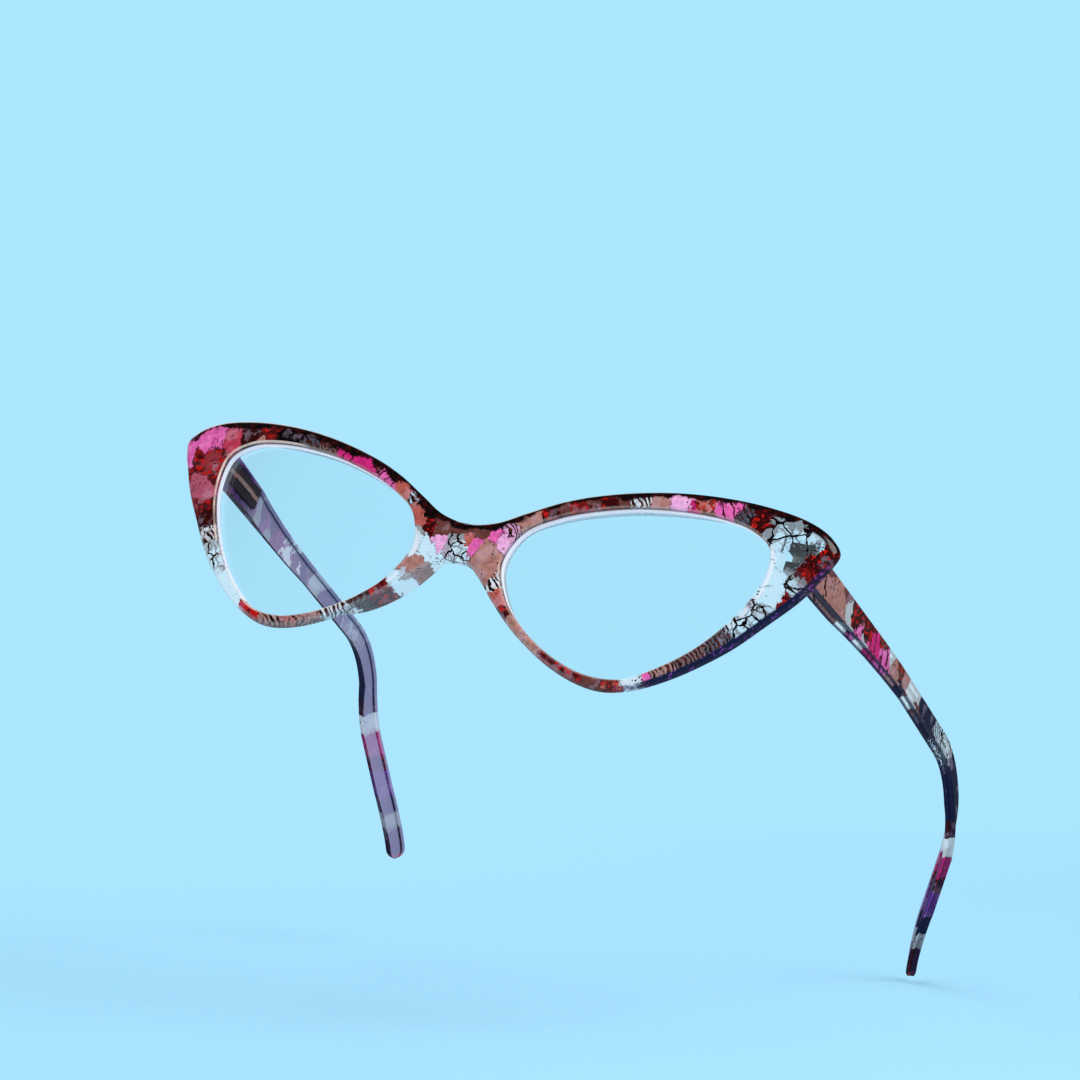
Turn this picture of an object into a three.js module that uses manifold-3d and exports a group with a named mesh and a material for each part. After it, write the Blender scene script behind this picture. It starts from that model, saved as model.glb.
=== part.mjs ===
// Cat-eye reading glasses with spring-hinged temples.
// Millimetres. X runs to the wearer's left, Y from the front towards the ears, Z up.
// Every dimension is taken from a datum on the symmetry plane, at the front surface of the bridge, level
// with the middle of the lenses. The finished glasses are then moved so that their box is centred on the
// origin.
import * as THREE from "three";
import { mergeVertices } from "three/addons/utils/BufferGeometryUtils.js";
import Module from "manifold-3d";

const wasm = await Module();
wasm.setup();

// ---------------------------------------------------------------- driving dimensions

const FRONT_CURVE_RADIUS = 291; // the front is bent to this radius about an upright axis
const FRONT_THICKNESS = 3.3;
const FRONT_EDGE = 0.55; // rounding of the front's long edges
const END_PAD_Y = 10.0; // flat pads behind the wings, where the temples butt
const END_PAD_X = 59.2;

const LENS_FRONT_DEPTH = 1.0; // from the front surface of the rim back to the lens
const LENS_THICKNESS = 1.8;
const LENS_BEVEL = 0.5; // how far the lens edge reaches into its groove
const LENS_FIT = 0.1;

const NOSE_PAD = { x: 11.6, y: 2.4, z: -7.5, length: 10.2, depth: 4.4, width: 1.9 };
const NOSE_PAD_TILT = 0.72; // radians down from level, along the side of the nose
const NOSE_PAD_ROOT = 1.2; // depth behind the front surface at which the pads begin

const HINGE = { x: 61.1, y: 11.4, z: 13.65 }; // middle of the screw's axis
const KNUCKLE_RADIUS = 1.2;
const KNUCKLE_HEIGHT = 1.9; // each of the two front knuckles
const KNUCKLE_GAP = 1.9; // between them
const LEAF_FRONT_Y = 8.3; // front of the leaf, moulded into the wing
const LEAF_PLATE = { thickness: 0.9, outerX: 65.0, web: 0.9 };
const LEAF_FIT = 0.1;

const SCREW_RADIUS = 0.65;
const SCREW_BORE = 0.72;
const SCREW_HEAD = { radius: 1.05, height: 0.5, gap: 0.05 };
const SCREW_SLOT = { width: 0.32, depth: 0.25 };

const SPLAY = 0.089; // radians, each temple opens outwards by this much
const DROP = 0.06; // radians, slope of the temple's top edge towards the ear
const TEMPLE_START = { x: 63.7, y: 9.9, z: 18.0 }; // outer top corner, before the end is trimmed
const TEMPLE_GAP = 0.45; // between the open temple's end and its pad
const TEMPLE_LENGTH = 143;
const TEMPLE_HEIGHT = { hinge: 7.5, shaft: 4.8, tip: 4.9 };
const TEMPLE_THICKNESS = { boss: 3.6, ramp: 3.0, shaft: 2.5, tip: 2.8 };
const TEMPLE_EDGE = 0.5;
const BOSS_END = 19.5; // the boss keeps its full thickness to here
const RAMP_START = 26; // falls steeply to here, then gently to the shaft
const SHAFT_START = 36;
const TAPER_END = 57; // the height falls evenly to here
const TIP_FULL = 108; // the tip's full thickness starts here
const PAST_TIP = 160; // where the lists of headings and sizes end
const TIP_ROUND = 2.4;

const ROD_U = 0.45; // pull rod's distance outside the screw's axis
const ROD_RADIUS = 0.4;
const HOUSING = { u0: -0.75, u1: 1.65, v0: 2.3, v1: 17.4, halfHeight: 2.05, wall: 0.5 };
const HOUSING_RIB = { height: 0.28, halfWidth: 0.45, v0: 5.0, v1: 13.6 };
const POCKET_FIT = 0.12;
const KNUCKLE_NOTCH = { u: 1.5, v: 2.0 }; // cut in the temple's end to clear the knuckles
const STOP = { radius: 0.8, v0: 15.5, length: 1.0 };
const SPRING = { v0: 3.0, v1: 15.4, radius: 0.62, wire: 0.13, turns: 8 };

const FAR = 100; // cutting boxes reach this far, past every piece

// Straight facets round each outline.
const OUTLINE_CORNERS = 112;
const OPENING_CORNERS = 48;

// ---------------------------------------------------------------- outlines of the front, as [x, z]

// Edge of the wearer's left lens opening, once round.
const OPENING = [
  [9.4, 0.2], [12.4, -6.4], [17.3, -11.1], [24.7, -15.3], [31.9, -17.3], [38.6, -16.6],
  [44.1, -13.1], [49.8, -7.7], [54.9, 0], [57.6, 7.4], [57.1, 13.7], [53.0, 16.5],
  [46.6, 17.4], [36.5, 16.7], [27.9, 14.9], [17.5, 11.0], [11.5, 6.7],
];

// Outer edge of the wearer's left half, from the top of the bridge round to its underside.
const HALF_OUTLINE = [
  [0, 6.6], [5.6, 7.7], [10.9, 10.6], [17.0, 14.0], [24.2, 16.9], [35, 19.8], [45.5, 21.3],
  [55, 21.5], [62.4, 20.6], [66.8, 18.8], [69.1, 16.2], [68.5, 13.6], [66.9, 10.5],
  [64.3, 5.9], [60.2, 0.3], [54.5, -6.9], [47.8, -13.2], [40.9, -17.6], [35.4, -19.3],
  [29.9, -18.9], [23.3, -16.6], [15.9, -12.3], [10.2, -7.6], [5.9, -3.5], [3.1, -1.4],
  [0, -0.95],
];

// ---------------------------------------------------------------- solids

function solid(geometry) {
  const bare = geometry.clone();
  bare.deleteAttribute("normal");
  bare.deleteAttribute("uv");
  const merged = mergeVertices(bare, 1e-4);
  const vertProperties = new Float32Array(merged.attributes.position.array);
  const triVerts = new Uint32Array(merged.index.array);
  return new wasm.Manifold(new wasm.Mesh({ numProp: 3, vertProperties, triVerts }));
}

function geometryOf(manifold) {
  const mesh = manifold.getMesh();
  const geometry = new THREE.BufferGeometry();
  geometry.setAttribute("position", new THREE.BufferAttribute(mesh.vertProperties, 3));
  geometry.setIndex(new THREE.BufferAttribute(mesh.triVerts, 1));
  geometry.computeVertexNormals();
  return geometry;
}

function box(low, high) {
  const size = high.map((value, i) => value - low[i]);
  const middle = high.map((value, i) => (value + low[i]) / 2);
  return solid(new THREE.BoxGeometry(...size).translate(...middle));
}

// Upright cylinder between two heights.
function post(x, y, radius, z0, z1) {
  const shape = new THREE.CylinderGeometry(radius, radius, z1 - z0, 18);
  return solid(shape.rotateX(Math.PI / 2).translate(x, y, (z0 + z1) / 2));
}

// Cylinder along Y.
function rod(x, z, radius, y0, y1) {
  const shape = new THREE.CylinderGeometry(radius, radius, y1 - y0, 14);
  return solid(shape.translate(x, (y0 + y1) / 2, z));
}

function bend(geometry) {
  const place = geometry.attributes.position;
  for (let i = 0; i < place.count; i += 1) {
    const x = place.getX(i);
    place.setY(i, place.getY(i) + (x * x) / (2 * FRONT_CURVE_RADIUS));
  }
  return geometry;
}

// Smooth closed curve through [x, z] points, as a shape that runs anticlockwise.
function smoothShape(points, count) {
  const knots = points.map(([x, z]) => new THREE.Vector3(x, z, 0));
  const curve = new THREE.CatmullRomCurve3(knots, true, "centripetal");
  const round = curve.getSpacedPoints(count).slice(0, count);
  const corners = round.map((p) => new THREE.Vector2(p.x, p.y));
  return new THREE.Shape(THREE.ShapeUtils.isClockWise(corners) ? corners.reverse() : corners);
}

// Stands a flat extrusion up behind the front surface, starting at a depth.
function standUp(geometry, depth, thickness) {
  return bend(geometry.rotateX(Math.PI / 2).translate(0, depth + thickness, 0));
}

// ---------------------------------------------------------------- front and lenses

function frontOutline() {
  const mirrored = HALF_OUTLINE.slice(1, -1).reverse();
  return [...HALF_OUTLINE, ...mirrored.map(([x, z]) => [-x, z])];
}

// Lens with a V-shaped edge. Grown by a clearance, it is also the cutter of its groove.
function lensBody(side, clearance) {
  const points = OPENING.map(([x, z]) => [side * x, z]);
  const bevelThickness = LENS_THICKNESS / 2 - 0.1;
  const flat = new THREE.ExtrudeGeometry(smoothShape(points, OPENING_CORNERS), {
    depth: LENS_THICKNESS - 2 * bevelThickness + 2 * clearance,
    bevelThickness,
    bevelSize: LENS_BEVEL,
    bevelOffset: clearance - 0.05,
    bevelSegments: 1,
  });
  flat.translate(0, 0, bevelThickness);
  return standUp(flat, LENS_FRONT_DEPTH - clearance, LENS_THICKNESS + 2 * clearance);
}

// A straight block with a closed outline, from a little ahead of the front to well behind it.
function deepBlock(points, count) {
  const flat = new THREE.ExtrudeGeometry(smoothShape(points, count), {
    depth: 20,
    bevelEnabled: false,
  });
  return solid(standUp(flat, -5, 20));
}

// Long flange moulded on the back of each rim beside the nose, flush with the rim's own sides.
function nosePad(side) {
  const pad = new THREE.SphereGeometry(1, 16, 10);
  pad.rotateZ(Math.PI / 2);
  pad.scale(NOSE_PAD.length, NOSE_PAD.depth, NOSE_PAD.width);
  pad.rotateY(side * NOSE_PAD_TILT);
  const whole = solid(pad.translate(side * NOSE_PAD.x, NOSE_PAD.y, NOSE_PAD.z));
  const opening = deepBlock(OPENING.map(([x, z]) => [side * x, z]), OPENING_CORNERS);
  const ahead = box([-FAR, -FAR, -FAR], [FAR, NOSE_PAD_ROOT, FAR]);
  return whole.subtract(opening).subtract(ahead);
}

function frontFrame() {
  const shape = smoothShape(frontOutline(), OUTLINE_CORNERS);
  for (const side of [-1, 1]) {
    shape.holes.push(smoothShape(OPENING.map(([x, z]) => [side * x, z]), OPENING_CORNERS));
  }
  const flat = new THREE.ExtrudeGeometry(shape, {
    depth: FRONT_THICKNESS - 2 * FRONT_EDGE,
    bevelThickness: FRONT_EDGE,
    bevelSize: FRONT_EDGE,
    bevelOffset: -FRONT_EDGE,
    bevelSegments: 2,
  });
  flat.translate(0, 0, FRONT_EDGE);
  let front = solid(standUp(flat, 0, FRONT_THICKNESS));
  const withinOutline = deepBlock(frontOutline(), OUTLINE_CORNERS);
  for (const side of [-1, 1]) {
    front = front.add(nosePad(side).intersect(withinOutline));
    front = front.subtract(solid(lensBody(side, LENS_FIT)));
    front = front.subtract(mirrored(endPadCut(), side));
    front = front.subtract(mirrored(leafSolid(LEAF_FIT), side));
  }
  return geometryOf(front);
}

function endPadCut() {
  return box([END_PAD_X, END_PAD_Y, -FAR], [FAR, FAR, FAR]);
}

function mirrored(manifold, side) {
  return side > 0 ? manifold : manifold.mirror([1, 0, 0]);
}

// ---------------------------------------------------------------- hinge, wearer's left side

// Two legs with a plate each, joined by a web at the outer end, and a knuckle on each leg.
function leafSolid(grow) {
  const halfWidth = KNUCKLE_RADIUS - 0.05 + grow;
  const plateBack = LEAF_FRONT_Y + LEAF_PLATE.thickness + grow;
  const bottom = HINGE.z - KNUCKLE_GAP / 2 - KNUCKLE_HEIGHT - grow;
  const top = HINGE.z + KNUCKLE_GAP / 2 + KNUCKLE_HEIGHT + grow;
  const outer = LEAF_PLATE.outerX + grow;
  const front = LEAF_FRONT_Y - grow;
  let leaf = box([outer - LEAF_PLATE.web - 2 * grow, front, bottom], [outer, plateBack, top]);
  for (const [z0, z1] of knuckleSpans(grow)) {
    leaf = leaf.add(box([HINGE.x - halfWidth, front, z0], [outer, plateBack, z1]));
    leaf = leaf.add(box([HINGE.x - halfWidth, front, z0], [HINGE.x + halfWidth, HINGE.y, z1]));
    leaf = leaf.add(post(HINGE.x, HINGE.y, KNUCKLE_RADIUS + grow, z0, z1));
  }
  return leaf;
}

function knuckleSpans(grow) {
  const near = KNUCKLE_GAP / 2 - grow;
  const far = KNUCKLE_GAP / 2 + KNUCKLE_HEIGHT + grow;
  return [
    [HINGE.z + near, HINGE.z + far],
    [HINGE.z - far, HINGE.z - near],
  ];
}

function frontHinge() {
  const bore = post(HINGE.x, HINGE.y, SCREW_BORE, 0, 30);
  return geometryOf(leafSolid(0).subtract(bore));
}

function hingeScrew() {
  const top = HINGE.z + KNUCKLE_GAP / 2 + KNUCKLE_HEIGHT + SCREW_HEAD.gap;
  const bottom = HINGE.z - KNUCKLE_GAP / 2 - KNUCKLE_HEIGHT - 0.1;
  const shank = post(HINGE.x, HINGE.y, SCREW_RADIUS, bottom, top + 0.1);
  const head = post(HINGE.x, HINGE.y, SCREW_HEAD.radius, top, top + SCREW_HEAD.height);
  const half = SCREW_SLOT.width / 2;
  const slotFloor = top + SCREW_HEAD.height - SCREW_SLOT.depth;
  const slot = box(
    [HINGE.x - 2, HINGE.y - half, slotFloor],
    [HINGE.x + 2, HINGE.y + half, top + 2],
  );
  return geometryOf(shank.add(head).subtract(slot));
}

// The pieces below are in the cartridge's own axes: u (X) outwards, v (Y) along the temple,
// with the origin at the middle of the screw.

function slidingKnuckle() {
  const half = KNUCKLE_GAP / 2 - 0.1;
  const barrel = post(0, 0, KNUCKLE_RADIUS, -half, half);
  const neck = box([ROD_U - 0.6, 0, -half], [ROD_U + 0.6, 2.0, half]);
  const pull = rod(ROD_U, 0, ROD_RADIUS, 1.9, STOP.v0 + 0.7);
  const bore = post(0, 0, SCREW_BORE, -5, 5);
  return geometryOf(barrel.add(neck).add(pull).subtract(bore));
}

function housingShell() {
  const { u0, u1, v0, v1, halfHeight, wall } = HOUSING;
  const shell = box([u0, v0, -halfHeight], [u1, v1, halfHeight]);
  const reach = SPRING.radius + SPRING.wire + 0.15;
  const hollow = box([ROD_U - reach, v0 + wall, -reach], [ROD_U + reach, v1 - wall, reach]);
  const rodHole = rod(ROD_U, 0, ROD_RADIUS + 0.12, v0 - 1, v0 + wall + 1);
  const rib = box(
    [u0 - HOUSING_RIB.height, HOUSING_RIB.v0, -HOUSING_RIB.halfWidth],
    [u0 + 0.1, HOUSING_RIB.v1, HOUSING_RIB.halfWidth],
  );
  return geometryOf(shell.add(rib).subtract(hollow).subtract(rodHole));
}

class Helix extends THREE.Curve {
  getPoint(t, target = new THREE.Vector3()) {
    const angle = t * SPRING.turns * 2 * Math.PI;
    const along = SPRING.v0 + SPRING.wire + t * (SPRING.v1 - SPRING.v0 - 2 * SPRING.wire);
    const u = ROD_U + SPRING.radius * Math.cos(angle);
    return target.set(u, along, SPRING.radius * Math.sin(angle));
  }
}

function flexSpring() {
  const corners = [0, 1, 2, 3, 4].map((i) => {
    const angle = (i * 2 * Math.PI) / 5;
    return new THREE.Vector2(SPRING.wire * Math.cos(angle), SPRING.wire * Math.sin(angle));
  });
  return new THREE.ExtrudeGeometry(new THREE.Shape(corners), {
    extrudePath: new Helix(),
    steps: SPRING.turns * 10,
  });
}

// Nut on the end of the rod. The spring pushes on it.
function springStop() {
  const nut = rod(ROD_U, 0, STOP.radius, STOP.v0, STOP.v0 + STOP.length);
  return geometryOf(nut.subtract(rod(ROD_U, 0, ROD_RADIUS + 0.05, 0, 30)));
}

// ---------------------------------------------------------------- temple, wearer's left side

// Headings along the temple's outer top edge: [distance, radians outwards].
const OUTWARD = [
  [0, SPLAY], [40, SPLAY], [56, 0.035], [101, 0.035], [114, -0.385], [127, -0.385], [139, -0.17],
  [PAST_TIP, -0.17],
];
// The same for the fall: level shaft, a round bend over the ear, straight tip.
const FALL = [[0, DROP], [82, DROP], [104, 0.84], [PAST_TIP, 0.84]];

const HEIGHTS = [
  [0, TEMPLE_HEIGHT.hinge], [TAPER_END, TEMPLE_HEIGHT.shaft], [100, TEMPLE_HEIGHT.shaft],
  [TEMPLE_LENGTH, TEMPLE_HEIGHT.tip],
];
const THICKNESSES = [
  [0, TEMPLE_THICKNESS.boss], [BOSS_END, TEMPLE_THICKNESS.boss],
  [RAMP_START, TEMPLE_THICKNESS.ramp], [SHAFT_START, TEMPLE_THICKNESS.shaft],
  [TAPER_END, TEMPLE_THICKNESS.shaft], [TIP_FULL, TEMPLE_THICKNESS.tip],
  [PAST_TIP, TEMPLE_THICKNESS.tip],
];

function between(stations, s) {
  const next = Math.max(1, stations.findIndex(([at]) => at >= s));
  const [s0, a] = stations[next - 1];
  const [s1, b] = stations[next];
  return a + ((b - a) * (s - s0)) / (s1 - s0);
}

// Walks along the headings and notes the place and axes at every step.
function templePath() {
  const step = 0.5;
  const place = new THREE.Vector3(TEMPLE_START.x, TEMPLE_START.y, TEMPLE_START.z);
  const path = [];
  for (let s = 0; s <= TEMPLE_LENGTH + step; s += step) {
    const out = between(OUTWARD, s);
    const fall = between(FALL, s);
    const along = new THREE.Vector3(
      Math.sin(out) * Math.cos(fall), Math.cos(out) * Math.cos(fall), -Math.sin(fall));
    const down = new THREE.Vector3(
      -Math.sin(out) * Math.sin(fall), -Math.cos(out) * Math.sin(fall), -Math.cos(fall));
    const inwards = new THREE.Vector3(-Math.cos(out), Math.sin(out), 0);
    path.push({ place: place.clone(), down, inwards });
    place.addScaledVector(along, step);
  }
  return { step, path };
}

// Distances at which the temple has a cross-section, closer together where it bends and at the tip.
function templeStations() {
  const bossAndRamp = [0, 9, BOSS_END, 22.5, RAMP_START, 31, SHAFT_START];
  const stations = [...bossAndRamp, 43, 50, TAPER_END, 66, 75, 82];
  for (let s = 85; s < TEMPLE_LENGTH - 4; s += 3) stations.push(s);
  for (const lag of [2.2, 1.2, 0.5, 0]) stations.push(TEMPLE_LENGTH - lag);
  return stations;
}

// Height and thickness shrink to a round end over the last few millimetres.
function tipShare(s) {
  const into = Math.max(0, s - (TEMPLE_LENGTH - TIP_ROUND)) / TIP_ROUND;
  return Math.sqrt(Math.max(0.015, 1 - into * into));
}

// Turns a grid line of a box's side, at -3, -1, 1 or 3 sixths, into a place across a section of
// the given size. The outermost lines lie on the sides, the next ones where the rounding starts.
function acrossSection(line, size, roundedCorner) {
  const side = Math.sign(line);
  if (Math.abs(line) < 0.3) return side * (size / 2 - TEMPLE_EDGE);
  return side * (size / 2 - (roundedCorner ? 0.29 * TEMPLE_EDGE : 0));
}

function templeBlank() {
  const stations = templeStations();
  const count = stations.length - 1;
  const geometry = new THREE.BoxGeometry(count, 1, 1, count, 3, 3);
  const { step, path } = templePath();
  const vertices = geometry.attributes.position;
  const place = new THREE.Vector3();
  for (let i = 0; i < vertices.count; i += 1) {
    const s = stations[Math.round(vertices.getX(i) + count / 2)];
    const at = Math.round(s / step);
    const [gridH, gridT] = [vertices.getY(i), vertices.getZ(i)];
    const corner = Math.abs(gridH) > 0.3 && Math.abs(gridT) > 0.3;
    const height = between(HEIGHTS, s);
    const thickness = between(THICKNESSES, s);
    const down = height / 2 + tipShare(s) * acrossSection(gridH, height, corner);
    const inwards = thickness / 2 + tipShare(s) * acrossSection(gridT, thickness, corner);
    place.copy(path[at].place);
    place.addScaledVector(path[at].down, down);
    place.addScaledVector(path[at].inwards, inwards);
    vertices.setXYZ(i, place.x, place.y, place.z);
  }
  return solid(geometry);
}

// A box given in the cartridge's axes, turned and moved to where the cartridge sits.
function cartridgeBox(low, high) {
  const degrees = (-SPLAY * 180) / Math.PI;
  return box(low, high).rotate([0, 0, degrees]).translate([HINGE.x, HINGE.y, HINGE.z]);
}

function temple() {
  const { u1, v1, halfHeight } = HOUSING;
  const notch = cartridgeBox([-FAR, -FAR, -FAR], [KNUCKLE_NOTCH.u, KNUCKLE_NOTCH.v, FAR]);
  const pocket = cartridgeBox(
    [-FAR, 0, -halfHeight - POCKET_FIT],
    [u1 + POCKET_FIT, v1 + POCKET_FIT, halfHeight + POCKET_FIT],
  );
  const ahead = box([0, -FAR, -FAR], [FAR, END_PAD_Y + TEMPLE_GAP, FAR]);
  return geometryOf(templeBlank().subtract(ahead).subtract(notch).subtract(pocket));
}

// ---------------------------------------------------------------- materials

function printedPlastic() {
  return new THREE.MeshStandardMaterial({ color: 0x8f5a57, roughness: 0.15, metalness: 0 });
}

function lensPlastic() {
  return new THREE.MeshStandardMaterial({
    color: 0xf4fbff,
    roughness: 0.03,
    metalness: 0,
    transparent: true,
    opacity: 0.2,
  });
}

function hingeMetal() {
  return new THREE.MeshStandardMaterial({ color: 0xb9b2ad, roughness: 0.35, metalness: 1 });
}

function springSteel() {
  return new THREE.MeshStandardMaterial({ color: 0xc8c8cc, roughness: 0.3, metalness: 1 });
}

function housingMetal() {
  return new THREE.MeshStandardMaterial({ color: 0xc9a79b, roughness: 0.3, metalness: 1 });
}

// ---------------------------------------------------------------- assembly

function named(name, geometry, material) {
  const mesh = new THREE.Mesh(geometry, material);
  mesh.name = name;
  return mesh;
}

function sidePieces(label) {
  const cartridge = new THREE.Group();
  cartridge.position.set(HINGE.x, HINGE.y, HINGE.z);
  cartridge.rotation.z = -SPLAY;
  cartridge.add(
    named(`sliding_knuckle_${label}`, slidingKnuckle(), hingeMetal()),
    named(`spring_housing_${label}`, housingShell(), housingMetal()),
    named(`flex_spring_${label}`, flexSpring(), springSteel()),
    named(`spring_stop_${label}`, springStop(), hingeMetal()),
  );
  const side = new THREE.Group();
  side.add(
    named(`front_hinge_${label}`, frontHinge(), hingeMetal()),
    named(`hinge_screw_${label}`, hingeScrew(), springSteel()),
    named(`temple_${label}`, temple(), printedPlastic()),
    cartridge,
  );
  return side;
}

const glasses = new THREE.Group();
glasses.add(
  named("front_frame", frontFrame(), printedPlastic()),
  named("lens_left", lensBody(1, 0), lensPlastic()),
  named("lens_right", lensBody(-1, 0), lensPlastic()),
);
const left = sidePieces("left");
const right = sidePieces("right");
right.scale.x = -1;
glasses.add(left, right);

const overallBox = new THREE.Box3().setFromObject(glasses, true);
glasses.position.sub(overallBox.getCenter(new THREE.Vector3()));

export default glasses;
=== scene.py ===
"""Looks of the cat-eye reading glasses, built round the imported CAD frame. Lengths are in millimetres."""

import math

import bmesh
import bpy
import numpy as np
from mathutils import Matrix, Vector


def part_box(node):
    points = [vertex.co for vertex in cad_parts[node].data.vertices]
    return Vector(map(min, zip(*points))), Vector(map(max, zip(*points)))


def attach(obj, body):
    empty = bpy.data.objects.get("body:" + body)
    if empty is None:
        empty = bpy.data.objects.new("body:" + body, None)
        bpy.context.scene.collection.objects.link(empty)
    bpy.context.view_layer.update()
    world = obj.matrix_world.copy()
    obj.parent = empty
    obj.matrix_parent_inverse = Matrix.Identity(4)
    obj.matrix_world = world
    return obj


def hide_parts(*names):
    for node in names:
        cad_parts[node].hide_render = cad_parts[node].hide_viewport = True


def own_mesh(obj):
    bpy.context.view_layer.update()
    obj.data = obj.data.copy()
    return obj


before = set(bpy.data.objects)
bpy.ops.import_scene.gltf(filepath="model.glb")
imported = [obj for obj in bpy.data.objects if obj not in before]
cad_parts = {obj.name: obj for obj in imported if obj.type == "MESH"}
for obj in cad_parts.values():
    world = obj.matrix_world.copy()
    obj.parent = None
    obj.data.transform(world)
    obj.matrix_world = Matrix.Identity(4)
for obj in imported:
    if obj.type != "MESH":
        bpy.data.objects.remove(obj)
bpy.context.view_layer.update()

MM = 0.001

# Every dimension is taken from a datum on the symmetry plane, at the front surface of the bridge, level
# with the middle of the lens openings. The CAD front gives its place: the bridge is the front's foremost
# point, and its top edge is at a known height.
TOP_EDGE_HEIGHT = 21.5587
front_low, front_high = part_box("front_frame")
DATUM = Vector((0, front_low.y, front_high.z - TOP_EDGE_HEIGHT * MM))

# ------------ shared dimensions of the frame

FRONT_CURVE_RADIUS = 291.0
FRONT_THICKNESS = 3.3
END_PAD_Y = 10.0
END_PAD_X = 59.2
LENS_FRONT = 1.5
LENS_THICKNESS = 1.25
HINGE = np.array([61.1, 11.4, 13.65])
SPLAY = 0.089
BRIDGE_TOP, BRIDGE_BOTTOM = 6.6, -0.95
SIDES = (("left", 1), ("right", -1))

OPENING = [
    [9.4, 0.2], [12.4, -6.4], [17.3, -11.1], [24.7, -15.3], [31.9, -17.3], [38.6, -16.6],
    [44.1, -13.1], [49.8, -7.7], [54.9, 0], [57.6, 7.4], [57.1, 13.7], [53.0, 16.5],
    [46.6, 17.4], [36.5, 16.7], [27.9, 14.9], [17.5, 11.0], [11.5, 6.7],
]
HALF_OUTLINE = [
    [0, BRIDGE_TOP], [5.6, 7.7], [10.9, 10.6], [17.0, 14.0], [24.2, 16.9], [35, 19.8], [45.5, 21.3],
    [55, 21.5], [62.4, 20.6], [66.8, 18.8], [69.1, 16.2], [68.5, 13.6], [66.9, 10.5],
    [64.3, 5.9], [60.2, 0.3], [54.5, -6.9], [47.8, -13.2], [40.9, -17.6], [35.4, -19.3],
    [29.9, -18.9], [23.3, -16.6], [15.9, -12.3], [10.2, -7.6], [5.9, -3.5], [3.1, -1.4],
    [0, BRIDGE_BOTTOM],
]


# ------------ curves

def smooth_closed(points, per_span=40):
    """Closed centripetal Catmull-Rom curve through the points."""
    knots = np.array(points, float)
    count = len(knots)
    t = np.linspace(0, 1, per_span, endpoint=False)[:, None]
    spans = []
    for i in range(count):
        a, b, c, d = (knots[(i + k) % count] for k in (-1, 0, 1, 2))
        ab, bc, cd = (math.sqrt(np.linalg.norm(q - p)) for p, q in ((a, b), (b, c), (c, d)))
        start = bc * ((b - a) / ab - (c - a) / (ab + bc) + (c - b) / bc)
        end = bc * ((c - b) / bc - (d - b) / (bc + cd) + (d - c) / cd)
        spans.append(b + start * t + (3 * (c - b) - 2 * start - end) * t**2
                     + (2 * (b - c) + start + end) * t**3)
    return np.vstack(spans)


def outward_normals(curve, reach=12):
    """Outward unit normals of an anticlockwise closed curve, evened out over a few points."""
    tangent = np.roll(curve, -reach, axis=0) - np.roll(curve, reach, axis=0)
    normal = np.stack([tangent[:, 1], -tangent[:, 0]], axis=1)
    return normal / np.linalg.norm(normal, axis=1)[:, None]


def distance_to(points, curve):
    """Distance from each point to a closed curve, and the number of the nearest segment."""
    ends = np.roll(curve, -1, axis=0)
    span = ends - curve
    size = np.maximum((span**2).sum(1), 1e-12)
    best = np.empty(len(points))
    near = np.empty(len(points), int)
    for i in range(0, len(points), 1000):
        p = points[i:i + 1000, None, :]
        t = np.clip(((p - curve) * span).sum(2) / size, 0, 1)
        gap = np.linalg.norm(p - curve - t[..., None] * span, axis=2)
        near[i:i + 1000] = gap.argmin(1)
        best[i:i + 1000] = gap.min(1)
    return best, near


def step_between(value, low, high):
    """Smooth step from 0 at low to 1 at high."""
    t = np.clip((value - low) / (high - low), 0, 1)
    return t * t * (3 - 2 * t)


# ------------ meshes

def linked(name, data):
    made = bpy.data.objects.new(name, data)
    bpy.context.scene.collection.objects.link(made)
    return made


def mesh_of(name, work):
    """Mesh from a bmesh, which is freed."""
    mesh = bpy.data.meshes.new(name)
    work.to_mesh(mesh)
    work.free()
    return mesh


def piece_from(name, vertices, faces, materials, attributes=None, face_slots=None):
    """Mesh object from vertices in millimetres, with named numbers on its vertices."""
    mesh = bpy.data.meshes.new(name)
    mesh.from_pydata((np.asarray(vertices) * MM + np.array(DATUM)).tolist(), [], faces)
    for key, values in (attributes or {}).items():
        layer = mesh.attributes.new(key, "FLOAT", "POINT")
        layer.data.foreach_set("value", np.asarray(values, np.float32))
    for material in materials:
        mesh.materials.append(material)
    if face_slots is not None:
        mesh.polygons.foreach_set("material_index", face_slots)
    work = bmesh.new()
    work.from_mesh(mesh)
    loose = [v for v in work.verts if not v.link_faces]
    bmesh.ops.delete(work, geom=loose, context="VERTS")
    bmesh.ops.remove_doubles(work, verts=work.verts, dist=2e-6)
    bmesh.ops.recalc_face_normals(work, faces=work.faces)
    work.to_mesh(mesh)
    work.free()
    smooth_by_angle(mesh)
    return linked(name, mesh)


def smooth_by_angle(mesh, degrees=38):
    mesh.polygons.foreach_set("use_smooth", [True] * len(mesh.polygons))
    mesh.set_sharp_from_angle(angle=math.radians(degrees))


def ring_faces(rows, columns):
    """Quads of a grid whose rows run round a ring, numbered row by row."""
    faces = []
    for i in range(rows):
        here, after = i * columns, (i + 1) % rows * columns
        faces += [(here + j, here + j + 1, after + j + 1, after + j) for j in range(columns - 1)]
    return faces


def tube_faces(rows, around):
    """Quads of a grid whose columns run round a tube, and the tube's two ends."""
    last = (rows - 1) * around
    faces = []
    for here in range(0, last, around):
        for j in range(around):
            k = (j + 1) % around
            faces.append((here + j, here + k, here + around + k, here + around + j))
    return faces + [tuple(range(around)), tuple(range(last, last + around))]


# ------------ front

RAYS = 340
OUTLINE_INSET = 0.03
LINE_POINTS = 60

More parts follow.
